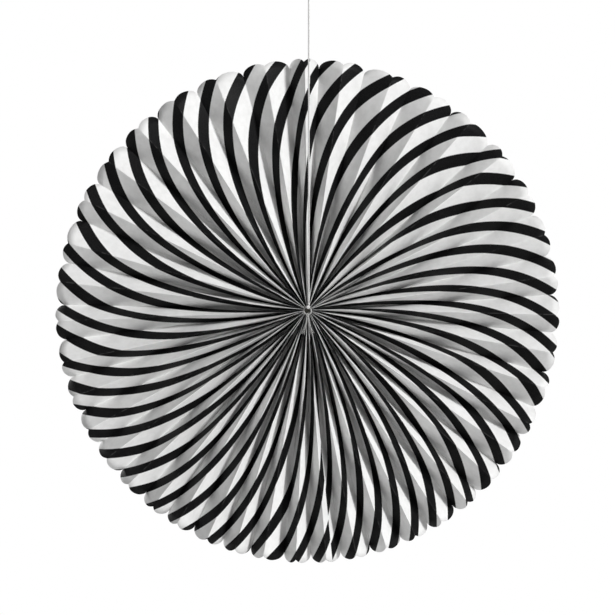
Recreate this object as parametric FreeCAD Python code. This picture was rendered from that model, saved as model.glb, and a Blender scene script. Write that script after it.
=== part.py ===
import FreeCAD, Part
import math
import os

from FreeCAD import Vector

# The fan stands upright: +Z up, its front faces -Y, and the origin is its centre.
# Azimuths run clockwise from straight up, seen from the front. Lengths are in millimetres.

# Sheet and rim
fan_diameter = 300.0          # over the tips of the scallops
paper_thickness = 0.15
rim_pleat_depth = 5.0         # front to back at the tips, where the pleats stand widest open
valley_notch = 5.6            # how far the rim drops from a tip to a valley fold
ridge_notch = 2.3             # how far it drops to a ridge fold
tip_share = 0.4               # place of the tip across a panel, from its ridge

# Pleats
pleats_left = 21              # in the half that carries both glued laps
pleats_right = 20
inner_looseness = 1.45        # room at the inner edge for each sheet, in sheet thicknesses
top_opening = 1.27            # how much wider the rim opens at the top than on average
seam_opening = 0.62           # share of a common panel's opening beside the top seam
top_seam_azimuth = -0.8

# Glued laps where the two halves meet
lap_width = 6.0
glue_gap = 0.15
glue_slack = 0.06             # between the glue and each sheet
glue_inset = 0.5              # from the edges of the lap
glue_bottom_radius = 28.0
lap_clearance = 0.08          # between the hidden end of a half and the pleat before it
hidden_end_share = 0.1        # of the end panel, kept between its hidden end and any other line

# Glue that closes the hole from the back
plug_depth = 2.0              # of its stem, in the hole
plug_diameter = 12.0          # of its low dome, over the back of the pleats
plug_height = 0.5
plug_clearance = 0.1          # to the paper

# String
string_diameter = 1.1
ring_clearance = 0.1          # between the drawn ring and the inner edges of the paper
ring_proud = 0.2              # how far the ring stands out of the ridges
string_clearance = 0.15       # between the string and the ridges that it passes
string_offset = 0.75          # to the right of the centre
string_knot_diameter = 2.6
hanging_knot_height = 206.0   # above the centre
hanging_knot_diameter = 3.4
loop_height = 26.0
loop_width = 11.0
tail_length = 11.5
tail_spread = 3.0

# Worked out from the sizes above
tip_radius = fan_diameter / 2
valley_radius = tip_radius - valley_notch
panels = 2 * (pleats_left + pleats_right)
bottom_seam = 2 * pleats_right
hole_radius = panels * paper_thickness * inner_looseness / (2 * math.pi)
half_sheet = paper_thickness / 2
lap_pitch = paper_thickness + glue_gap

# Share of the way from the hole to the tips of each section of the sheet
section_shares = (0.0, 0.006, 0.013, 0.022, 0.033, 0.047, 0.066, 0.092, 0.13, 0.19, 0.27, 0.38,
                  0.50, 0.62, 0.74, 0.86)
section_radii = [hole_radius + share * (tip_radius - hole_radius) for share in section_shares]
section_radii.append(valley_radius)
# Steps of the rim's line on either side of a scallop's tip
valley_side_steps = 5
ridge_side_steps = 2
same_point = 1e-6             # points closer than this are one


def on_circle(radius, azimuth):
    angle = math.radians(azimuth)
    return Vector(radius * math.sin(angle), 0, radius * math.cos(angle))


def blend(first, second, share):
    return first * (1 - share) + second * share


# Folds are numbered clockwise from the top seam. Even folds are ridges, odd ones valleys.
def inner_azimuth(fold):
    return top_seam_azimuth + 360.0 * fold / panels


# The rim opens unevenly because the fan hangs: wide at the top, close at the bottom.
def rim_azimuth(fold):
    turns, place = divmod(fold, panels)
    panel_angle = 360.0 / (panels - 2 * (1 - seam_opening))
    even = 0.0 if place == 0 else (place - 1 + seam_opening) * panel_angle
    half = math.radians(even) / 2
    opened = 2 * math.atan2(top_opening * math.sin(half), math.cos(half))
    return top_seam_azimuth + 360.0 * turns + math.degrees(opened)


def plan_point(fold, radius):
    share = (radius - hole_radius) / (tip_radius - hole_radius)
    inner = on_circle(hole_radius, inner_azimuth(fold))
    return blend(inner, on_circle(tip_radius, rim_azimuth(fold)), share)


def chord(fold, radius):
    return plan_point(fold, radius).distanceToPoint(plan_point(fold + 1, radius))


widest_chord = max(chord(fold, tip_radius) for fold in range(panels))
panel_width = math.hypot(widest_chord, rim_pleat_depth)
lap_share = lap_width / panel_width


# The sheet doesn't stretch, so a fold stands as deep as the panels beside it are closed.
def fold_depth(fold, radius):
    opening = (chord(fold - 1, radius) + chord(fold, radius)) / 2
    return math.sqrt(panel_width ** 2 - opening ** 2) / 2


def fold_point(fold, radius):
    point = plan_point(fold, radius)
    side = -1 if fold % 2 == 0 else 1
    return Vector(point.x, side * fold_depth(fold, radius), point.z)


def front_normal(first, second, place):
    return (second - first).cross(Vector(place.x, 0, place.z)).normalize()


# A panel beside a seam, as its ridge point, its valley point and its front normal.
def seam_panel(ridge, valley, radius):
    high = fold_point(ridge, radius)
    low = fold_point(valley, radius)
    middle = blend(high, low, 0.5)
    ends = (high, low) if valley > ridge else (low, high)
    return high, low, front_normal(*ends, middle)


# The lap lies in front of the other half's end panel, one lap pitch away all along.
def lap_point(ridge, valley, radius, share, raised):
    high, low, normal = seam_panel(ridge, valley, radius)
    return blend(high, low, share) + normal * (lap_pitch * (share - 1 + raised))


# An end panel starts where it clears the pleat behind it.
def hidden_start(ridge, valley, radius):
    high, low, normal = seam_panel(ridge, valley, radius)
    opening = math.hypot(high.x - low.x, high.z - low.z)
    return (lap_pitch + paper_thickness + lap_clearance) / (2 * opening + lap_pitch)


# A column is one line of the sheet from the hole to the rim: a fold or an edge.
# It holds its kind, the share across its panel on either side, and its place.
def fold_column(fold):
    kind = "ridge" if fold % 2 == 0 else "valley"
    share = 0.0 if kind == "ridge" else 1.0
    return {"kind": kind, "share": lambda radius: share,
            "place": lambda radius: fold_point(fold, radius)}


def lap_column(ridge, valley):
    return {"kind": "edge", "share": lambda radius: lap_share,
            "place": lambda radius: lap_point(ridge, valley, radius, lap_share, 1)}


def hidden_column(ridge, valley):
    def share(radius):
        return hidden_start(ridge, valley, radius)

    return {"kind": "edge", "share": share,
            "place": lambda radius: lap_point(ridge, valley, radius, share(radius), 0)}


# The end panel has a line under the lap's edge, so that both warp alike. Near the hole,
# where the end panel starts further back than that, the line follows its hidden end.
def under_lap_column(ridge, valley):
    def share(radius):
        start = hidden_start(ridge, valley, radius)
        return max(lap_share, start + hidden_end_share * (1 - start))

    return {"kind": "flat", "share": share,
            "place": lambda radius: lap_point(ridge, valley, radius, share(radius), 0)}


# Front and back points of every column at one radius. A fold has two points on its
# outer side, so that the sheet keeps its thickness, and one mitred point on its inner.
def skins(columns, radius):
    places = [column["place"](radius) for column in columns]
    last = len(places) - 1
    front = []
    back = []
    for index, (column, place) in enumerate(zip(columns, places)):
        low, high = max(index - 1, 0), min(index + 1, last)
        before = front_normal(places[low], places[low + 1], place)
        after = front_normal(places[high - 1], places[high], place)
        middle = (before + after).normalize()
        mitre = middle * (half_sheet / middle.dot(before))
        pair_front = [place + before * half_sheet, place + after * half_sheet]
        pair_back = [place - before * half_sheet, place - after * half_sheet]
        if column["kind"] != "ridge":
            pair_front = [place + mitre, place + mitre]
        if column["kind"] != "valley":
            pair_back = [place - mitre, place - mitre]
        front += pair_front
        back += pair_back
    return front[1:-1], back[1:-1]


def scallop_radius(share):
    if share <= tip_share:
        return tip_radius - ridge_notch * (1 - share / tip_share) ** 2
    across = (share - tip_share) / (1 - tip_share)
    return valley_radius + valley_notch * math.sqrt(max(0.0, 1 - across ** 2))


def scallop_shares():
    ridge_side = [tip_share * step / ridge_side_steps for step in range(ridge_side_steps)]
    quarter = math.pi / 2 / valley_side_steps
    valley_side = [tip_share + (1 - tip_share) * math.sin(quarter * step)
                   for step in range(valley_side_steps + 1)]
    return ridge_side + valley_side


def triangle(first, second, third):
    corners = [first, second, third]
    sides = [corners[i].distanceToPoint(corners[i - 1]) for i in range(3)]
    return [corners] if min(sides) > same_point else []


# Triangles between two lines of points.
def ribbon(upper, lower):
    faces = []
    for a, b, c, d in zip(upper, upper[1:], lower[1:], lower):
        faces += triangle(a, b, d) + triangle(b, c, d)
    return faces


def flipped(faces):
    return [face[::-1] for face in faces]


# The rim of one side of one panel, in order along the columns.
def panel_rim(columns, index, side):
    near, far = columns[index], columns[index + 1]
    start, end = near["share"](tip_radius), far["share"](tip_radius)
    low, high = min(start, end), max(start, end)
    inside = [share for share in scallop_shares() if low < share < high]
    shares = [low] + inside + [high]
    if start > end:
        shares.reverse()
    points = []
    for share in shares:
        radius = scallop_radius(share)
        pair = skins(columns[max(0, index - 1):index + 3], radius)[side]
        place = 2 * min(index, 1)
        local = (share - start) / (end - start)
        points.append(blend(pair[place], pair[place + 1], local))
    return points


# Triangles of the front, the back and the two ends of a sheet, and of its inner edge.
def open_skin(rings):
    faces = ribbon(rings[0][1], rings[0][0])
    for (front, back), (next_front, next_back) in zip(rings, rings[1:]):
        faces += ribbon(front, next_front)
        faces += flipped(ribbon(back, next_back))
        faces += ribbon([back[0], front[0]], [next_back[0], next_front[0]])
        faces += ribbon([front[-1], back[-1]], [next_front[-1], next_back[-1]])
    return faces


def closed_skin(rings):
    return open_skin(rings) + ribbon(rings[-1][0], rings[-1][1])


# One half of the fan, as the triangles of its closed skin.
def half_skin(columns):
    rings = [skins(columns, radius) for radius in section_radii]
    faces = open_skin(rings)
    base = rings[-1]
    edges = [[base[0][0]], [base[1][0]]]
    for index in range(len(columns) - 1):
        for side in (0, 1):
            rim = panel_rim(columns, index, side)
            near, far = base[side][2 * index], base[side][2 * index + 1]
            rises = columns[index]["share"](tip_radius) < columns[index + 1]["share"](tip_radius)
            outline = rim + [far] if rises else [near] + rim
            anchor = near if rises else far
            panel = []
            for first, second in zip(outline, outline[1:]):
                panel += triangle(anchor, second, first)
            if index > 0:
                corner = base[side][2 * index - 1]
                panel += ribbon([corner, near], [edges[side][-1], rim[0]])
            faces += flipped(panel) if side else panel
            edges[side] += rim
    edges[0].append(base[0][-1])
    edges[1].append(base[1][-1])
    faces += ribbon(edges[0], edges[1])
    return faces


def solid_from(faces):
    shell = Part.Shell([Part.Face(Part.makePolygon(face + face[:1])) for face in faces])
    solid = Part.Solid(shell)
    if solid.Volume < 0:
        solid.reverse()
    return solid


def paper_right_half():
    columns = [hidden_column(0, 1), under_lap_column(0, 1)]
    columns += [fold_column(fold) for fold in range(1, bottom_seam)]
    columns += [under_lap_column(bottom_seam, bottom_seam - 1),
                hidden_column(bottom_seam, bottom_seam - 1)]
    return solid_from(half_skin(columns))


def paper_left_half():
    columns = [lap_column(bottom_seam, bottom_seam - 1)]
    columns += [fold_column(fold) for fold in range(bottom_seam, panels + 1)]
    columns.append(lap_column(panels, panels + 1))
    return solid_from(half_skin(columns))


# The strip of glue between a lap and the end panel under it.
def seam_glue(ridge, valley):
    inset = glue_inset / panel_width
    radii = [glue_bottom_radius] + [r for r in section_radii if r > glue_bottom_radius]
    reach = glue_gap / 2 - glue_slack
    rings = []
    for radius in radii:
        high, low, normal = seam_panel(ridge, valley, radius)
        ring = []
        for side in (1, -1):
            line = []
            for across in (hidden_start(ridge, valley, radius) + inset, lap_share - inset):
                middle = blend(high, low, across) + normal * (lap_pitch * (across - 0.5))
                line.append(middle + normal * (side * reach))
            ring.append(line if valley > ridge else line[::-1])
        rings.append(ring)
    return solid_from(closed_skin(rings))


ridge_front = fold_depth(0, hole_radius) + half_sheet
string_radius = string_diameter / 2
ring_radius = hole_radius - ring_clearance - string_radius
string_front = ridge_front + string_clearance + string_radius
knot_front = ridge_front + string_knot_diameter / 2 + string_clearance


def ball(diameter, centre):
    return Part.makeSphere(diameter / 2, centre)


def rod(start, end):
    return Part.makeCylinder(string_radius, start.distanceToPoint(end), start, end - start)


def centre_glue():
    stem = Part.makeCylinder(hole_radius - plug_clearance, plug_depth + plug_clearance,
                             Vector(0, ridge_front - plug_depth, 0), Vector(0, 1, 0))
    sphere_radius = (plug_diameter ** 2 / 4 + plug_height ** 2) / (2 * plug_height)
    base = ridge_front + plug_clearance
    sphere_centre = Vector(0, base + plug_height - sphere_radius, 0)
    slab = Part.makeCylinder(plug_diameter, plug_height, Vector(0, base, 0), Vector(0, 1, 0))
    return ball(2 * sphere_radius, sphere_centre).common(slab).fuse(stem).removeSplitter()


def draw_string_ring():
    centre = Vector(0, -ridge_front - ring_proud + string_radius, 0)
    return Part.makeTorus(ring_radius, string_radius, centre, Vector(0, 1, 0))


def hanging_string():
    bottom = Vector(string_offset, -string_front, ring_radius + string_radius + ring_clearance)
    top = Vector(string_offset, -string_front, hanging_knot_height)
    run = rod(bottom, top)
    section = math.pi * string_radius ** 2
    print("hanging string: one straight run of", round(bottom.distanceToPoint(top), 1), "mm,",
          "volume over section times length", round(run.Volume / (section * run.BoundBox.ZLength), 4))
    return run


def hanging_string_knot(ring, string):
    knot = ball(string_knot_diameter, Vector(string_offset / 2, -knot_front, ring_radius))
    return knot.cut(ring).cut(string)


def draw_string_knot(ring):
    centre = Vector(0, -knot_front, -ring_radius)
    knot = ball(string_knot_diameter, centre)
    for side in (-1, 1):
        end = Vector(side * tail_spread, -string_front, -ring_radius - tail_length)
        knot = knot.fuse(rod(centre, end))
    return knot.removeSplitter().cut(ring)


def hanging_knot(string):
    centre = Vector(string_offset, -string_front, hanging_knot_height)
    return ball(hanging_knot_diameter, centre).cut(string)


# The loop rises from its knot in two straight legs, tangent to a round top.
def hanging_loop(knot_ball):
    bow = (loop_width - string_diameter) / 2
    centre = Vector(string_offset, -string_front, hanging_knot_height + loop_height - bow - string_radius)
    foot = Vector(string_offset, -string_front, hanging_knot_height)
    drop = centre.z - foot.z
    lean = math.asin(bow / drop)
    leg_top = Vector(bow * math.cos(lean), 0, -bow * math.sin(lean))
    right = centre + leg_top
    left = centre + Vector(-leg_top.x, 0, leg_top.z)
    arc = Part.Arc(right, centre + Vector(0, 0, bow), left)
    path = Part.Wire([Part.makeLine(foot, right), arc.toShape(), Part.makeLine(left, foot)])
    half = Part.Wire([Part.makeLine(foot, right), arc.toShape()])
    section = Part.Wire(Part.makeCircle(string_radius, foot, right - foot))
    loop = half.makePipeShell([section], True, False)
    loop = loop.fuse(rod(foot, left))
    print("hanging loop: path", round(path.Length, 1), "mm, radius", round(bow, 1), "mm")
    return loop.cut(knot_ball)


def save(name, shape):
    shape.exportStep("parts/" + name + ".step")
    print(name, "solids", len(shape.Solids), "valid", shape.isValid(), "volume", round(shape.Volume, 2),
          "faces", len(shape.Faces))


def main():
    os.makedirs("parts", exist_ok=True)
    ring = draw_string_ring()
    string = hanging_string()
    knot_ball = ball(hanging_knot_diameter, Vector(string_offset, -string_front, hanging_knot_height))
    string_knot = hanging_string_knot(ring, string)
    save("paper_right_half", paper_right_half())
    save("paper_left_half", paper_left_half())
    save("top_seam_glue", seam_glue(panels, panels + 1))
    save("bottom_seam_glue", seam_glue(bottom_seam, bottom_seam - 1))
    save("centre_glue", centre_glue())
    save("draw_string_ring", ring)
    save("draw_string_knot", draw_string_knot(ring))
    save("hanging_string_knot", string_knot)
    save("hanging_string", string)
    save("hanging_knot", hanging_knot(string))
    save("hanging_loop", hanging_loop(knot_ball))
    print("hole radius", round(hole_radius, 2), "panel width", round(panel_width, 2),
          "ridge front", round(ridge_front, 2), "ring radius", round(ring_radius, 2))


main()
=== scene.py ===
import math

import bmesh
import bpy
from mathutils import Matrix, Vector


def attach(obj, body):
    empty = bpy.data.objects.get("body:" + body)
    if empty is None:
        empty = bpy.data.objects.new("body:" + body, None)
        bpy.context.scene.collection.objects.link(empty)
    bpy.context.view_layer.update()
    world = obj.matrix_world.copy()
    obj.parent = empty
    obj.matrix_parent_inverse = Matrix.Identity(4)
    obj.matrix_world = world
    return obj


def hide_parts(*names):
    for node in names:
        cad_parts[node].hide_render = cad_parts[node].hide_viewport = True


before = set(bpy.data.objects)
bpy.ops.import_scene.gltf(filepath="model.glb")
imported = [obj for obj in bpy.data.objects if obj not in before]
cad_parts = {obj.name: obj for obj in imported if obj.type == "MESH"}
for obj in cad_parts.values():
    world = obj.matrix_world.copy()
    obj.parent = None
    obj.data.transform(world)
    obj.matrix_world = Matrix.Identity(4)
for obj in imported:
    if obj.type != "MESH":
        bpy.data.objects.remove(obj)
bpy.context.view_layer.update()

mm = 0.001


# a number that a node tree works out, so that a formula can be written as one
class Field:
    def __init__(self, tree, socket):
        self.tree = tree
        self.socket = socket

    def do(self, operation, *others):
        node = self.tree.nodes.new("ShaderNodeMath")
        node.operation = operation
        for slot, value in enumerate((self,) + others):
            connect(self.tree, value, node.inputs[slot])
        return Field(self.tree, node.outputs[0])

    def __add__(self, other):
        return self.do("ADD", other)

    def __radd__(self, other):
        return self.do("ADD", other)

    def __sub__(self, other):
        return self.do("SUBTRACT", other)

    def __rsub__(self, other):
        return self.do("MULTIPLY", -1) + other

    def __mul__(self, other):
        return self.do("MULTIPLY", other)

    def __truediv__(self, other):
        return self.do("DIVIDE", other)

    def __pow__(self, other):
        return self.do("POWER", other)

    def sin(self):
        return self.do("SINE")

    def cos(self):
        return self.do("COSINE")

    def root(self):
        return self.do("SQRT")

    def floor(self):
        return self.do("FLOOR")

    def max(self, other):
        return self.do("MAXIMUM", other)

    def min(self, other):
        return self.do("MINIMUM", other)

    def pick(self, whenOne, whenZero):
        return whenZero + self * (whenOne - whenZero)


def connect(tree, value, socket):
    if isinstance(value, Field):
        tree.links.new(value.socket, socket)
    elif isinstance(value, bpy.types.NodeSocket):
        tree.links.new(value, socket)
    else:
        socket.default_value = value


def addNode(tree, kind, inputs=None, **settings):
    node = tree.nodes.new(kind)
    for name, value in settings.items():
        setattr(node, name, value)
    for name, value in (inputs or {}).items():
        connect(tree, value, node.inputs[name])
    return node


def joinAxes(tree, x, y, z):
    return addNode(tree, "ShaderNodeCombineXYZ", {"X": x, "Y": y, "Z": z}).outputs[0]


def splitAxes(tree, vector):
    node = addNode(tree, "ShaderNodeSeparateXYZ", {0: vector})
    return [Field(tree, socket) for socket in node.outputs]


def vectorMath(tree, operation, first, second=None, scale=None):
    node = addNode(tree, "ShaderNodeVectorMath", {0: first}, operation=operation)
    if second is not None:
        connect(tree, second, node.inputs[1])
    if scale is not None:
        connect(tree, scale, node.inputs["Scale"])
    return node.outputs["Value"] if operation in ("LENGTH", "DISTANCE") else node.outputs[0]


# how long a vector is along the axes that are 1
def lengthAlong(tree, vector, axes):
    kept = vectorMath(tree, "MULTIPLY", vector, axes)
    return Field(tree, vectorMath(tree, "LENGTH", kept))


def addSockets(tree, inputs, outputs):
    for name, (kind, value) in inputs.items():
        socket = tree.interface.new_socket(name, in_out="INPUT", socket_type=kind)
        if value is not None:
            socket.default_value = value
    for name, kind in outputs.items():
        tree.interface.new_socket(name, in_out="OUTPUT", socket_type=kind)


# camera: straight on, long lens, the fan a little over four fifths of the picture
cameraSizes = {"distance": 1.7, "viewWidth": 0.366, "sensor": 36.0, "aimX": 0.0, "aimZ": 0.002}


def makeCamera():
    data = bpy.data.cameras.new("camera")
    data.sensor_width = cameraSizes["sensor"]
    data.lens = cameraSizes["sensor"] * cameraSizes["distance"] / cameraSizes["viewWidth"]
    camera = bpy.data.objects.new("camera", data)
    camera.location = (cameraSizes["aimX"], -cameraSizes["distance"], cameraSizes["aimZ"])
    camera.rotation_euler = (math.pi / 2, 0, 0)
    bpy.context.collection.objects.link(camera)
    bpy.context.scene.camera = camera
    print("camera made")


# the folded sheets, sizes in metres and radians
fanSizes = {
    "panels": 82,
    "tipRadius": 150 * mm,
    "holeRadius": 2.838 * mm,
    "panelWidth": 15.54 * mm,
    "valleyNotch": 5.6 * mm,
    "ridgeNotch": 2.3 * mm,
    "tipShare": 0.4,                   # place of a scallop's tip across a panel, from the ridge
    "topOpening": 1.27,                # how much wider the rim opens at the top
    "seamOpening": 0.62,               # of a common panel's, beside the top seam
    "topSeam": math.radians(-0.8),
    "thickness": 0.15 * mm,
    "lapWidth": 6 * mm,
    "lapPitch": 0.3 * mm,
    "lapClearance": 0.08 * mm,
    "foldWander": math.radians(0.5),   # at the rim, to either side
    "foldLean": 0.7 * mm,              # sideways, where the pleats crowd
    "leanShare": 0.04,                 # of the radius, within which a fold leans less
    "seamCalm": 3,                     # folds beside a seam that stay put
    "creaseSoftness": 0.018,
    "bow": 0.03,                       # of the opening between two folds
    "bowSpread": 0.5,
    "bowMean": 0.15,
    "steps": 14,                       # columns of faces across a panel
    "rows": 44,
    "rowPower": 1.5,                   # crowds the rows near the hole
    "seed": 7,
}
# printStart shifts the stripes, in panels
halves = {
    "foldedSheetRight": {"node": "paper_right_half", "first": 0, "count": 40, "laps": 0.0,
                         "printStart": 0.1},
    "foldedSheetLeft": {"node": "paper_left_half", "first": 39, "count": 44, "laps": 1.0,
                        "printStart": -0.54},
}


# a number between -1 and 1 for each item
def scatter(tree, item, seed):
    node = addNode(tree, "FunctionNodeRandomValue", {"ID": item, "Seed": seed}, data_type="FLOAT")
    return Field(tree, node.outputs[1]) * 2 - 1


# what a group of nodes gives for some folds beside each other
def placesAt(tree, group, fold, steps, share):
    places = []
    for step in steps:
        node = addNode(tree, "GeometryNodeGroup", node_tree=group)
        connect(tree, fold + step, node.inputs["Fold"])
        connect(tree, share, node.inputs["Share"])
        places.append(node.outputs["Place"])
    return places


# where a fold is in plan, at a share of the way from the hole to the tips
def planGroup():
    size = fanSizes
    tree = bpy.data.node_groups.new("foldInPlan", "GeometryNodeTree")
    addSockets(tree, {"Fold": ("NodeSocketFloat", 0.0), "Share": ("NodeSocketFloat", 0.0),
                      "Top Opening": ("NodeSocketFloat", size["topOpening"]),
                      "Wander": ("NodeSocketFloat", size["foldWander"]),
                      "Lean": ("NodeSocketFloat", size["foldLean"]),
                      "Seed": ("NodeSocketInt", size["seed"])}, {"Place": "NodeSocketVector"})
    given = tree.nodes.new("NodeGroupInput").outputs
    fold = Field(tree, given["Fold"])
    share = Field(tree, given["Share"])
    panels = size["panels"]
    roundingSlack = 0.0001
    turns = (fold / panels + roundingSlack).floor()
    place = fold - turns * panels
    panelAngle = 2 * math.pi / (panels - 2 * (1 - size["seamOpening"]))
    even = (place + (size["seamOpening"] - 1)).max(0.0) * panelAngle / 2
    opened = (even.sin() * Field(tree, given["Top Opening"])).do("ARCTAN2", even.cos()) * 2
    number = place.do("ROUND")
    fromTop = number.min(panels - number)
    fromSeam = fromTop.min((number - halves["foldedSheetRight"]["count"]).do("ABSOLUTE"))
    free = (fromSeam - size["seamCalm"] + 1).max(0.0).min(1.0)
    wander = scatter(tree, number, given["Seed"]) * free * given["Wander"]
    lean = scatter(tree, number + panels, given["Seed"]) * free
    outer = opened + turns * (2 * math.pi) + size["topSeam"] + wander
    inner = fold * (2 * math.pi / panels) + size["topSeam"]
    aside = lean * (share * (size["tipRadius"] * size["leanShare"])).min(Field(tree, given["Lean"]))
    across = (1 - share) * inner.sin() * size["holeRadius"] + share * outer.sin() * size["tipRadius"]
    up = (1 - share) * inner.cos() * size["holeRadius"] + share * outer.cos() * size["tipRadius"]
    across = across + outer.cos() * aside
    up = up - outer.sin() * aside
    out = tree.nodes.new("NodeGroupOutput")
    connect(tree, joinAxes(tree, across, 0.0, up), out.inputs["Place"])
    return tree


# where a fold is in space: ridges stand forward and valleys back, as deep as the sheet allows
def foldGroup(plan):
    size = fanSizes
    tree = bpy.data.node_groups.new("foldInSpace", "GeometryNodeTree")
    addSockets(tree, {"Fold": ("NodeSocketFloat", 0.0), "Share": ("NodeSocketFloat", 0.0),
                      "Panel Width": ("NodeSocketFloat", size["panelWidth"])},
               {"Place": "NodeSocketVector"})
    given = tree.nodes.new("NodeGroupInput").outputs
    fold = Field(tree, given["Fold"])
    places = placesAt(tree, plan, fold, (-1, 0, 1), given["Share"])
    chords = [Field(tree, vectorMath(tree, "DISTANCE", places[i], places[i + 1])) for i in (0, 1)]
    opening = (chords[0] + chords[1]) * 0.5
    width = Field(tree, given["Panel Width"])
    depth = (width * width - opening * opening).max(0.0).root() * 0.5
    odd = fold.do("FLOORED_MODULO", 2)
    x, y, z = splitAxes(tree, places[1])
    out = tree.nodes.new("NodeGroupOutput")
    connect(tree, joinAxes(tree, x, depth * (odd * 2 - 1), z), out.inputs["Place"])
    return tree


# how far out the scalloped rim lies, at a share of the way from a ridge to a valley
def rimRadius(fromRidge):
    size = fanSizes
    tip = size["tipShare"]
    inside = (1 - fromRidge / tip).max(0.0)
    outside = ((fromRidge - tip) / (1 - tip)).max(0.0)
    ridgeRim = size["tipRadius"] - inside * inside * size["ridgeNotch"]
    valleyRim = (1 - outside * outside).max(0.0).root() * size["valleyNotch"] - size["valleyNotch"]
    return ridgeRim + valleyRim


# share of the depth between two folds, with the creases rounded
def roundedDepth(across, soft):
    before = (across * across + soft * soft).root()
    after = ((1 - across) * (1 - across) + soft * soft).root()
    return (before - after) * 0.5 + 0.5


# one half of the fan: a grid of columns across its panels and rows from hole to rim
def halfTree(foldInSpace):
    size = fanSizes
    tree = bpy.data.node_groups.new("pleatedHalf", "GeometryNodeTree")
    addSockets(tree, {"First Panel": ("NodeSocketInt", halves["foldedSheetRight"]["first"]),
                      "Panel Count": ("NodeSocketInt", halves["foldedSheetRight"]["count"]),
                      "Lapping Ends": ("NodeSocketFloat", 0.0),
                      "Steps": ("NodeSocketInt", size["steps"]), "Rows": ("NodeSocketInt", size["rows"]),
                      "Lap Width": ("NodeSocketFloat", size["lapWidth"]),
                      "Crease Softness": ("NodeSocketFloat", size["creaseSoftness"]),
                      "Bow": ("NodeSocketFloat", size["bow"]), "Seed": ("NodeSocketInt", size["seed"]),
                      "Paper": ("NodeSocketMaterial", None)}, {"Geometry": "NodeSocketGeometry"})
    given = tree.nodes.new("NodeGroupInput").outputs
    names = ("First Panel", "Panel Count", "Lapping Ends", "Steps", "Rows", "Lap Width",
             "Crease Softness", "Bow")
    fields = [Field(tree, given[name]) for name in names]
    first, count, lapping, steps, rows, lapWidth, soft, bow = fields
    grid = addNode(tree, "GeometryNodeMeshGrid",
                   {"Vertices X": count * steps + 1, "Vertices Y": rows + 1})
    index = Field(tree, addNode(tree, "GeometryNodeInputIndex").outputs[0])
    column = ((index + 0.5) / (rows + 1)).floor()
    row = index - column * (rows + 1)

    raw = ((column + 0.5) / steps).floor().min(count - 1)
    turn = (column / steps - raw) * math.pi
    even = 0.5 - turn.cos() * 0.5                     # columns crowd at the folds
    panel = raw + first
    odd = panel.do("FLOORED_MODULO", 2)
    isFirst = raw.do("LESS_THAN", 0.5)
    isLast = raw.do("GREATER_THAN", count - 1.5)
    isEnd = isFirst + isLast

    # how much of an end panel is there: a lap, or all that clears the pleat before it
    rowShare = (row / rows) ** size["rowPower"]
    low, high = placesAt(tree, foldInSpace, panel, (0, 1), rowShare)
    opening = lengthAlong(tree, vectorMath(tree, "SUBTRACT", high, low), (1, 0, 1))
    room = size["lapPitch"] + size["thickness"] + size["lapClearance"]
    startShare = (opening * 2 + size["lapPitch"]).do("POWER", -1) * room
    keep = lapping.pick(lapWidth / size["panelWidth"], 1 - startShare)
    kept = 1 - isFirst.pick(1 - even, 1.0) * isFirst.pick(keep, 1.0)
    across = isFirst.pick(kept, even * isLast.pick(keep, 1.0))
    fromRidge = odd.pick(1 - across, across)
    radius = rowShare * (rimRadius(fromRidge) - size["holeRadius"]) + size["holeRadius"]
    share = (radius - size["holeRadius"]) / (size["tipRadius"] - size["holeRadius"])

    low, high = placesAt(tree, foldInSpace, panel, (0, 1), share)
    along = vectorMath(tree, "SUBTRACT", high, low)
    startX, startY, startZ = splitAxes(tree, low)
    alongX, alongY, alongZ = splitAxes(tree, along)
    x = startX + alongX * across
    y = startY + alongY * roundedDepth(across, soft)
    z = startZ + alongZ * across

    outward = joinAxes(tree, x, 0.0, z)
    normal = vectorMath(tree, "NORMALIZE", vectorMath(tree, "CROSS_PRODUCT", along, outward))
    chord = lengthAlong(tree, along, (1, 0, 1))
    bowed = scatter(tree, panel, given["Seed"]) * size["bowSpread"] + size["bowMean"]
    swell = bowed * bow * chord * (across * math.pi).sin()
    setBack = isEnd * (fromRidge - 1 + lapping) * size["lapPitch"]
    lift = vectorMath(tree, "SCALE", normal, scale=swell * (1 - isEnd) + setBack)
    place = vectorMath(tree, "ADD", joinAxes(tree, x, y, z), lift)

    atPoints = addNode(tree, "GeometryNodeFieldOnDomain", data_type="FLOAT_VECTOR", domain="POINT")
    connect(tree, joinAxes(tree, panel + across, radius / mm, 0.0), atPoints.inputs[0])
    named = addNode(tree, "GeometryNodeStoreNamedAttribute",
                    {"Geometry": grid.outputs["Mesh"], "Name": "sheet", "Value": atPoints.outputs[0]},
                    data_type="FLOAT2", domain="CORNER")
    moved = addNode(tree, "GeometryNodeSetPosition",
                    {"Geometry": named.outputs[0], "Position": place})
    smooth = addNode(tree, "GeometryNodeSetShadeSmooth", {"Geometry": moved.outputs[0]})
    real = addNode(tree, "GeometryNodeRealizeInstances", {"Geometry": smooth.outputs[0]})
    painted = addNode(tree, "GeometryNodeSetMaterial",
                      {"Geometry": real.outputs[0], "Material": given["Paper"]})
    out = tree.nodes.new("NodeGroupOutput")
    connect(tree, painted.outputs[0], out.inputs["Geometry"])
    return tree


def setInputs(modifier, values):
    for item in modifier.node_group.interface.items_tree:
        if item.item_type == "SOCKET" and item.in_out == "INPUT" and item.name in values:
            modifier[item.identifier] = values[item.name]


# what the modifiers make becomes the piece's own mesh
def makePlain(maker):
    bpy.context.view_layer.update()
    graph = bpy.context.evaluated_depsgraph_get()
    mesh = bpy.data.meshes.new_from_object(maker.evaluated_get(graph), preserve_all_data_layers=True,
                                           depsgraph=graph)
    mesh.name = maker.name
    maker.modifiers.clear()
    maker.data = mesh


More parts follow.
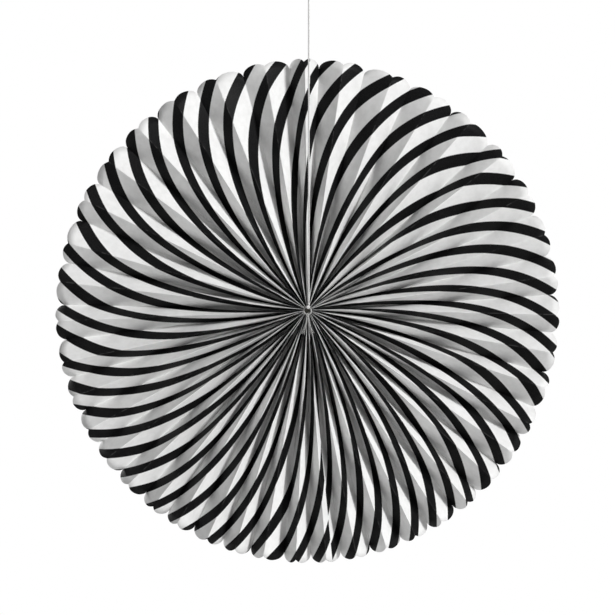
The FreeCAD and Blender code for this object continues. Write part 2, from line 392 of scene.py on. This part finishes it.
def makeHalves(plain):
    tree = halfTree(foldGroup(planGroup()))
    for name, half in halves.items():
        printed = printedPaper(name + "Print", half["printStart"])
        sheet = bpy.data.objects.new(name, bpy.data.meshes.new(name))
        bpy.context.collection.objects.link(sheet)
        pleats = sheet.modifiers.new("pleats", "NODES")
        pleats.node_group = tree
        setInputs(pleats, {"First Panel": half["first"], "Panel Count": half["count"],
                           "Lapping Ends": half["laps"], "Paper": printed})
        makePlain(sheet)
        sheet.data.materials.append(plain)
        solid = sheet.modifiers.new("thickness", "SOLIDIFY")
        solid.thickness = fanSizes["thickness"]
        solid.offset = 0
        solid.material_offset = 1
        solid.material_offset_rim = 1
        makePlain(sheet)
        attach(sheet, "root")
        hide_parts(half["node"])
        print(name, "made:", len(sheet.data.polygons), "faces")


# shader helpers
def newMaterial(name, color):
    material = bpy.data.materials.new(name)
    material.use_nodes = True
    material.diffuse_color = color
    tree = material.node_tree
    shader = tree.nodes["Principled BSDF"]
    return material, tree, shader


def addNoise(tree, vector, scale, detail=4.0, roughness=0.55):
    node = addNode(tree, "ShaderNodeTexNoise", {"Vector": vector, "Scale": scale, "Detail": detail,
                                                "Roughness": roughness})
    return Field(tree, node.outputs[0])


# rises smoothly from 0 to 1 between two values
def between(value, low, high):
    node = addNode(value.tree, "ShaderNodeMapRange",
                   {"Value": value, "From Min": low, "From Max": high, "To Min": 0.0, "To Max": 1.0},
                   interpolation_type="SMOOTHSTEP")
    return Field(value.tree, node.outputs[0])


# the node's colour sockets go by number, since other sockets share their names
def mixColors(tree, share, first, second):
    node = addNode(tree, "ShaderNodeMix", data_type="RGBA")
    connect(tree, share, node.inputs["Factor"])
    connect(tree, first, node.inputs[6])
    connect(tree, second, node.inputs[7])
    return node.outputs[2]


paperLook = {
    "white": (0.85, 0.85, 0.845, 1),
    "whiteDull": (0.79, 0.79, 0.783, 1),
    "ink": (0.003, 0.003, 0.0032, 1),
    "inkThin": (0.011, 0.011, 0.0115, 1),
    "worn": (0.06, 0.06, 0.06, 1),
    "roughness": 0.62,
    "inkRoughness": 0.5,
    "backRoughness": 0.7,
    "roughnessSpread": 0.1,
    "specular": 0.35,
    "inkSpecular": 0.06,
    "backSpecular": 0.3,
    "grain": 0.35,
    "backGrain": 0.4,
    "grainDepth": 0.1 * mm,
    "fibreScale": 2200.0,
    "fibreDetail": 3.0,
    "fibreHeight": 0.6,
    "cloudScale": 260.0,
    "cloudDetail": 2.0,
    "cloudHeight": 0.4,
    "dullPatches": (0.3, 0.75),        # levels of the noise between which each sets in
    "thinPatches": (0.35, 0.75),
    "wearPatches": (0.42, 0.62),
    "stripePeriod": 10 / 7,            # in panels
    "stripeTurn": 2.3,                 # panels that a stripe crosses from the centre to the rim
    "stripeCurl": 1.85,                # more of them, mostly near the rim
    "curlPower": 4.5,
    "stripeShare": 0.385,              # black share of a period near the hole
    "rimStripeShare": 0.44,
    "widenFrom": 0.6,                  # of the radius
    "blur": 0.012,                     # of a period
    "ragged": 0.02,
    "wearWidth": 0.035,                # of a panel, along the ridges
    "wearRagged": 0.03,
    "wearShare": 0.7,
}


def paperGrain(tree, shader, strength):
    look = paperLook
    where = addNode(tree, "ShaderNodeTexCoord").outputs["Object"]
    fibres = addNoise(tree, where, look["fibreScale"], look["fibreDetail"])
    cloudy = addNoise(tree, where, look["cloudScale"], look["cloudDetail"])
    height = fibres * look["fibreHeight"] + cloudy * look["cloudHeight"]
    bump = addNode(tree, "ShaderNodeBump",
                   {"Height": height, "Strength": strength, "Distance": look["grainDepth"]})
    connect(tree, bump.outputs[0], shader.inputs["Normal"])
    return fibres, cloudy


def cloudyWhite(tree, cloudy):
    dull = between(cloudy, *paperLook["dullPatches"])
    return mixColors(tree, dull, paperLook["white"], paperLook["whiteDull"])


def printedPaper(name, start):
    look = paperLook
    material, tree, shader = newMaterial(name, look["white"])
    fibres, cloudy = paperGrain(tree, shader, look["grain"])
    sheet = addNode(tree, "ShaderNodeUVMap", uv_map="sheet").outputs[0]
    panel, radius, _ = splitAxes(tree, sheet)
    reach = radius / (fanSizes["tipRadius"] / mm)
    curl = (reach ** look["curlPower"]) * look["stripeCurl"]
    middle = reach * look["stripeTurn"] + curl + start
    along = (panel - middle) / look["stripePeriod"] + 0.5
    away = (along.do("FLOORED_MODULO", 1.0) - 0.5).do("ABSOLUTE")
    widen = between(reach, look["widenFrom"], 1.0)
    half = (widen * (look["rimStripeShare"] - look["stripeShare"]) + look["stripeShare"]) * 0.5
    ragged = (fibres - 0.5) * look["ragged"]
    ink = 1 - between(away - half + ragged, -look["blur"], look["blur"])
    toRidge = panel.do("PINGPONG", 1.0)
    wearLine = 1 - between(toRidge + (fibres - 0.5) * look["wearRagged"], 0.0, look["wearWidth"])
    wear = wearLine * between(cloudy, *look["wearPatches"]) * look["wearShare"]
    white = cloudyWhite(tree, cloudy)
    black = mixColors(tree, between(fibres, *look["thinPatches"]), look["ink"], look["inkThin"])
    black = mixColors(tree, wear, black, look["worn"])
    connect(tree, mixColors(tree, ink, white, black), shader.inputs["Base Color"])
    roughness = ink * (look["inkRoughness"] - look["roughness"]) + look["roughness"]
    roughness = roughness + (cloudy - 0.5) * look["roughnessSpread"]
    connect(tree, roughness, shader.inputs["Roughness"])
    specular = look["specular"] - ink * (look["specular"] - look["inkSpecular"])
    connect(tree, specular, shader.inputs["Specular IOR Level"])
    return material


def plainPaper():
    look = paperLook
    material, tree, shader = newMaterial("plainPaper", look["white"])
    fibres, cloudy = paperGrain(tree, shader, look["backGrain"])
    connect(tree, cloudyWhite(tree, cloudy), shader.inputs["Base Color"])
    roughness = (fibres - 0.5) * look["roughnessSpread"] + look["backRoughness"]
    connect(tree, roughness, shader.inputs["Roughness"])
    shader.inputs["Specular IOR Level"].default_value = look["backSpecular"]
    return material


glueLook = {
    "pale": (0.8, 0.78, 0.7, 1),
    "dark": (0.62, 0.58, 0.46, 1),
    "blotchScale": 400.0,
    "roughness": 0.3,
    "roughnessSpread": 0.3,
}


def driedGlue():
    look = glueLook
    material, tree, shader = newMaterial("driedGlue", look["pale"])
    where = addNode(tree, "ShaderNodeTexCoord").outputs["Object"]
    blotch = addNoise(tree, where, look["blotchScale"])
    connect(tree, mixColors(tree, blotch, look["pale"], look["dark"]), shader.inputs["Base Color"])
    connect(tree, blotch * look["roughnessSpread"] + look["roughness"], shader.inputs["Roughness"])
    return material


cottonLook = {
    # crest and hollow colours: painted light on the fibre crests, painted shade in the hollows
    "hangingCotton": {"paintedLitCrest": (0.86, 0.86, 0.85, 1), "paintedShadeHollow": (0.66, 0.66, 0.65, 1),
                      "soil": (0.6, 0.6, 0.59, 1)},
    # the ring's cotton is the hanging cotton darkened, as painted shade where it lies in the hole
    "gatheringCottonPaintedShade": {"paintedLitCrest": (0.5, 0.5, 0.49, 1), "paintedShadeHollow": (0.33, 0.33, 0.32, 1),
                        "soil": (0.25, 0.25, 0.24, 1)},      # painted shade: the same cotton greyed for the shade of the hole
    "soilShare": 0.4,
    "soilScale": 500.0,
    "soilDetail": 2.0,
    "soilPatches": (0.5, 0.8),
    "fibreScale": 5200.0,
    "fibreDetail": 5.0,
    "fibreRoughness": 0.65,
    "fibrePatches": (0.3, 0.7),
    "fibreStrength": 0.6,
    "fibreDepth": 0.08 * mm,
    "roughness": 0.85,
    "sheen": 0.25,
    "specular": 0.25,
}


def stringCotton(name):
    look = cottonLook
    colors = look[name]
    material, tree, shader = newMaterial(name, colors["paintedLitCrest"])
    where = addNode(tree, "ShaderNodeTexCoord").outputs["Object"]
    fibres = addNoise(tree, where, look["fibreScale"], look["fibreDetail"], look["fibreRoughness"])
    soil = addNoise(tree, where, look["soilScale"], look["soilDetail"])
    # painted light and shade: the fibre crests lighter and the hollows darker, by the same noise as the
    # fibre bump
    lit = between(fibres, *look["fibrePatches"])
    soiled = between(soil, *look["soilPatches"]) * look["soilShare"]
    color = mixColors(tree, lit, colors["paintedShadeHollow"], colors["paintedLitCrest"])
    color = mixColors(tree, soiled, color, colors["soil"])
    connect(tree, color, shader.inputs["Base Color"])
    bump = addNode(tree, "ShaderNodeBump", {"Height": fibres, "Strength": look["fibreStrength"],
                                            "Distance": look["fibreDepth"]})
    connect(tree, bump.outputs[0], shader.inputs["Normal"])
    shader.inputs["Roughness"].default_value = look["roughness"]
    shader.inputs["Sheen Weight"].default_value = look["sheen"]
    shader.inputs["Specular IOR Level"].default_value = look["specular"]
    return material


# string, as three plies laid round each other along a path
stringSizes = {
    "diameter": 1.1 * mm,
    "plies": 3,
    "plyShare": 0.268,                 # of the diameter, as a ply's radius
    "lay": 3.2 * mm,                   # one turn of a ply
    "samplesPerLay": 9,
    "sides": 7,
    "offset": 0.75 * mm,
    "front": 8.54 * mm,
    "ringRadius": 2.188 * mm,
    "ringFront": 7.49 * mm,
    "ringSteps": 60,
    "startHeight": 2.838 * mm,
    "topKnotHeight": 206 * mm,
    "loopHeight": 26 * mm,
    "loopWidth": 11 * mm,
    "loopFootGap": 0.05 * mm,
    "loopSteps": 32,
    "knotFront": 9.3 * mm,
    "knotSteps": 72,
    "routeOrder": 3,
    "routeSteps": 12,
    "tailDiameter": 1.0 * mm,
    "tailLength": 11.5 * mm,
    "frayFrom": 0.5,                   # of the tail's length
    "frayWidth": 9,
    "frayThin": 0.5,
}
# the box that holds each knot's path, and the diameter of its string
knotSizes = {
    "drawStringKnot": {"width": 1.7 * mm, "height": 1.5 * mm, "depth": 1.2 * mm, "string": 0.9 * mm},
    "hangingStringKnot": {"width": 1.8 * mm, "height": 1.5 * mm, "depth": 1.3 * mm,
                          "string": 0.95 * mm},
    "loopKnot": {"width": 2.5 * mm, "height": 2.4 * mm, "depth": 1.7 * mm, "string": 1.1 * mm},
}
# a tail leaves its knot towards start, and is then drawn towards each of these points: to the
# side, forward of the string, and as a share of the way down
tailRoute = {
    "start": (0.6 * mm, 0.1 * mm, -1.6 * mm),
    "points": ((0.5 * mm, 0.3 * mm, 0.42), (1.5 * mm, 0.0, 0.7), (3.0 * mm, 0.0, 1.0)),
}


# points at even steps along a path, and its length
def evenPoints(path, spacing, closed):
    points = [Vector(point) for point in path]
    if closed:
        points.append(points[0])
    lengths = [0.0]
    for a, b in zip(points, points[1:]):
        lengths.append(lengths[-1] + (b - a).length)
    count = max(2, round(lengths[-1] / spacing))
    result = []
    step = 0
    for number in range(count + (0 if closed else 1)):
        target = lengths[-1] * number / count
        while step < len(points) - 2 and lengths[step + 1] < target:
            step += 1
        span = lengths[step + 1] - lengths[step]
        share = (target - lengths[step]) / span if span else 0
        result.append(points[step].lerp(points[step + 1], share))
    return result, lengths[-1]


# directions along and beside a path, and the twist that is left where it closes
def framesAlong(points, closed):
    last = len(points) - 1
    tangents = []
    for i in range(len(points)):
        before = points[i - 1] if i > 0 or closed else points[0]
        after = points[(i + 1) % len(points)] if i < last or closed else points[last]
        tangents.append((after - before).normalized())
    side = tangents[0].orthogonal().normalized()
    sides = []
    for tangent in tangents:
        side = (side - tangent * side.dot(tangent)).normalized()
        sides.append(side.copy())
    twist = 0.0
    if closed:
        back = (sides[-1] - tangents[0] * sides[-1].dot(tangents[0])).normalized()
        twist = math.atan2(back.cross(sides[0]).dot(tangents[0]), back.dot(sides[0]))
    return tangents, sides, twist


def addTube(bm, centres, tangents, sides, radii, count, closed):
    rings = []
    for centre, tangent, side, radius in zip(centres, tangents, sides, radii):
        up = tangent.cross(side)
        ring = []
        for step in range(count):
            turn = 2 * math.pi * step / count
            place = centre + side * (radius * math.cos(turn)) + up * (radius * math.sin(turn))
            ring.append(bm.verts.new(place))
        rings.append(ring)
    following = rings[1:] + ([rings[0]] if closed else [])
    for low, high in zip(rings, following):
        for step in range(count):
            bm.faces.new((low[step - 1], low[step], high[step], high[step - 1]))
    if not closed:
        bm.faces.new(rings[0][::-1])
        bm.faces.new(rings[-1])


def addPlies(bm, path, closed=False, diameter=None, frayed=False):
    size = stringSizes
    diameter = diameter or size["diameter"]
    spacing = size["lay"] / size["samplesPerLay"]
    points, length = evenPoints(path, spacing, closed)
    tangents, sides, twist = framesAlong(points, closed)
    turns = length / size["lay"]
    if closed:
        turns = max(1, round(turns))
    plyRadius = diameter * size["plyShare"]
    lean = diameter / 2 - plyRadius
    for ply in range(size["plies"]):
        centres = []
        plySides = []
        radii = []
        for i, (point, tangent, side) in enumerate(zip(points, tangents, sides)):
            share = i / (len(points) if closed else len(points) - 1)
            turn = 2 * math.pi * (turns * share + ply / size["plies"]) + twist * share
            up = tangent.cross(side)
            loose = max(0, share - size["frayFrom"]) if frayed else 0
            out = side * math.cos(turn) + up * math.sin(turn)
            centres.append(point + out * lean * (1 + size["frayWidth"] * loose))
            plySides.append(out)
            radii.append(plyRadius * (1 - size["frayThin"] * loose / (1 - size["frayFrom"])))
        plyTangents, _, _ = framesAlong(centres, closed)
        fixed = [(s - t * s.dot(t)).normalized() for s, t in zip(plySides, plyTangents)]
        addTube(bm, centres, plyTangents, fixed, radii, size["sides"], closed)


def meshPiece(name, bm, material):
    bmesh.ops.recalc_face_normals(bm, faces=bm.faces)
    mesh = bpy.data.meshes.new(name)
    bm.to_mesh(mesh)
    bm.free()
    for face in mesh.polygons:
        face.use_smooth = True
    mesh.materials.append(material)
    piece = bpy.data.objects.new(name, mesh)
    bpy.context.collection.objects.link(piece)
    return piece


def finishString(piece, *nodes):
    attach(piece, "root")
    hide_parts(*nodes)
    print(piece.name, "made:", len(piece.data.polygons), "faces")
    return piece


# the points of a smooth line through a route
def splinePoints(name, route):
    curve = bpy.data.curves.new(name, "CURVE")
    curve.dimensions = "3D"
    spline = curve.splines.new("NURBS")
    spline.points.add(len(route) - 1)
    for point, place in zip(spline.points, route):
        point.co = (*place, 1)
    spline.order_u = stringSizes["routeOrder"]
    spline.use_endpoint_u = True
    spline.resolution_u = stringSizes["routeSteps"]
    helper = bpy.data.objects.new(name, curve)
    bpy.context.collection.objects.link(helper)
    bpy.context.view_layer.update()
    mesh = bpy.data.meshes.new_from_object(helper)
    points = [vertex.co.copy() for vertex in mesh.vertices]
    bpy.data.objects.remove(helper)
    bpy.data.curves.remove(curve)
    bpy.data.meshes.remove(mesh)
    return points


# an overhand knot drawn tight: a trefoil pressed into the size given
def addKnot(bm, name, centre):
    size = knotSizes[name]
    steps = stringSizes["knotSteps"]
    path = []
    for step in range(steps):
        turn = 2 * math.pi * step / steps
        x = (math.sin(turn) + 2 * math.sin(2 * turn)) / 3 * size["width"] / 2
        y = -math.sin(3 * turn) * size["depth"] / 2
        z = (math.cos(turn) - 2 * math.cos(2 * turn)) / 3 * size["height"] / 2
        path.append(centre + Vector((x, y, z)))
    addPlies(bm, path, closed=True, diameter=size["string"])


def makeRing(cotton):
    size = stringSizes
    radius = size["ringRadius"]
    path = []
    for step in range(size["ringSteps"]):
        turn = 2 * math.pi * step / size["ringSteps"]
        path.append((radius * math.sin(turn), -size["ringFront"], radius * math.cos(turn)))
    bm = bmesh.new()
    addPlies(bm, path, closed=True)
    finishString(meshPiece("drawString", bm, cotton), "draw_string_ring")


def makeTail(cotton):
    size = stringSizes
    bm = bmesh.new()
    centre = Vector((0, -size["knotFront"], -size["ringRadius"]))
    end = -size["ringRadius"] - size["tailLength"]
    aside, back, up = tailRoute["start"]
    addKnot(bm, "drawStringKnot", centre)
    for side in (-1, 1):
        route = [centre, centre + Vector((side * aside, back, up))]
        for across, forward, down in tailRoute["points"]:
            route.append(Vector((side * across, -size["front"] - forward, end * down)))
        addPlies(bm, splinePoints("tail", route), diameter=size["tailDiameter"], frayed=True)
    return finishString(meshPiece("drawStringKnot", bm, cotton), "draw_string_knot")


def makeStartKnot(cotton):
    size = stringSizes
    bm = bmesh.new()
    addKnot(bm, "hangingStringKnot",
            Vector((size["offset"] / 2, -size["knotFront"], size["ringRadius"])))
    return finishString(meshPiece("hangingStringKnot", bm, cotton), "hanging_string_knot")


def makeTopKnot(cotton):
    size = stringSizes
    bm = bmesh.new()
    addKnot(bm, "loopKnot", Vector((size["offset"], -size["front"], size["topKnotHeight"])))
    return finishString(meshPiece("loopKnot", bm, cotton), "hanging_knot")


def makeLoop(cotton):
    size = stringSizes
    bow = (size["loopWidth"] - size["diameter"]) / 2
    middle = size["topKnotHeight"] + size["loopHeight"] - bow - size["diameter"] / 2
    centre = Vector((size["offset"], -size["front"], middle))
    foot = Vector((size["offset"], -size["front"], size["topKnotHeight"]))
    lean = math.asin(bow / (centre - foot).length)
    path = [foot]
    for step in range(size["loopSteps"] + 1):
        turn = -lean + (math.pi + 2 * lean) * step / size["loopSteps"]
        path.append(centre + Vector((bow * math.cos(turn), 0, bow * math.sin(turn))))
    path.append(foot + Vector((-size["loopFootGap"], 0, 0)))
    bm = bmesh.new()
    addPlies(bm, path)
    return finishString(meshPiece("hangingLoop", bm, cotton), "hanging_loop")


def makeHangingString(cotton):
    size = stringSizes
    bottom = Vector((size["offset"], -size["front"], size["startHeight"]))
    top = Vector((size["offset"], -size["front"], size["topKnotHeight"]))
    path = splinePoints("hangingRoute", [bottom, top])
    bm = bmesh.new()
    addPlies(bm, path)
    piece = finishString(meshPiece("hangingString", bm, cotton), "hanging_string")


# the glue shows as its solids
def dressGlue():
    glue = driedGlue()
    for name in ("top_seam_glue", "bottom_seam_glue", "centre_glue"):
        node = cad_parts[name]
        node.data.materials.clear()
        node.data.materials.append(glue)


# lamps, and a white background that a pale floor fades into
studio = {
    "lamps": {
        # from the right, a little above, in front of the fan
        "keyLight": {"from": (0.70, -0.61, 0.37), "strength": 2.64, "angle": math.radians(7)},
        # soft, for the back only
        "backLight": {"from": (-0.5, 0.75, 0.43), "strength": 1.5, "angle": math.radians(25)},
    },
    "worldLevel": 0.265,
    "floor": -1.2,
    "floorSize": 6.0,
    "floorColor": (0.9, 0.9, 0.9, 1),
    "floorRoughness": 0.9,
    "fadeFrom": 0.6,                   # distances between which it fades
    "fadeTo": 2.6,
}


def makeStudio():
    scene = bpy.context.scene
    scene.view_settings.view_transform = "Standard"
    world = bpy.data.worlds.new("studio")
    scene.world = world
    world.use_nodes = True
    tree = world.node_tree
    tree.nodes.clear()
    rays = addNode(tree, "ShaderNodeLightPath").outputs
    seen = Field(tree, rays["Is Camera Ray"])
    seen = seen.max(rays["Is Glossy Ray"]).max(rays["Is Transmission Ray"])
    fill = seen.pick(1.0, studio["worldLevel"])
    background = addNode(tree, "ShaderNodeBackground", {"Color": (1, 1, 1, 1), "Strength": fill})
    out = addNode(tree, "ShaderNodeOutputWorld")
    connect(tree, background.outputs[0], out.inputs["Surface"])
    for name, settings in studio["lamps"].items():
        data = bpy.data.lights.new(name, "SUN")
        data.energy = settings["strength"]
        data.angle = settings["angle"]
        lamp = bpy.data.objects.new(name, data)
        lamp.rotation_euler = Vector(settings["from"]).to_track_quat("Z", "Y").to_euler()
        bpy.context.collection.objects.link(lamp)
    makeFloor()
    print("studio made")


def floorWhite():
    material, tree, shader = newMaterial("floorWhite", studio["floorColor"])
    shader.inputs["Base Color"].default_value = studio["floorColor"]
    shader.inputs["Roughness"].default_value = studio["floorRoughness"]
    where = addNode(tree, "ShaderNodeTexCoord").outputs["Object"]
    away = lengthAlong(tree, where, (1, 1, 0))
    rays = addNode(tree, "ShaderNodeLightPath").outputs
    faded = between(away, studio["fadeFrom"], studio["fadeTo"]) * rays["Is Camera Ray"]
    white = addNode(tree, "ShaderNodeEmission", {"Color": (1, 1, 1, 1), "Strength": 1.0})
    mix = addNode(tree, "ShaderNodeMixShader", {0: faded, 1: shader.outputs[0], 2: white.outputs[0]})
    connect(tree, mix.outputs[0], tree.nodes["Material Output"].inputs["Surface"])
    return material


def makeFloor():
    bm = bmesh.new()
    bmesh.ops.create_grid(bm, x_segments=1, y_segments=1, size=studio["floorSize"] / 2)
    mesh = bpy.data.meshes.new("floor")
    bm.to_mesh(mesh)
    bm.free()
    mesh.transform(Matrix.Translation((0, 0, studio["floor"])))
    mesh.materials.append(floorWhite())
    floor = bpy.data.objects.new("floor", mesh)
    bpy.context.collection.objects.link(floor)


makeCamera()
makeStudio()
makeHalves(plainPaper())
# the ring and its knot take the darker cotton, which is painted shade
gathering = stringCotton("gatheringCottonPaintedShade")
hanging = stringCotton("hangingCotton")
makeRing(gathering)
knots = [makeTail(gathering), makeStartKnot(hanging), makeTopKnot(hanging), makeLoop(hanging)]
makeHangingString(hanging)
dressGlue()
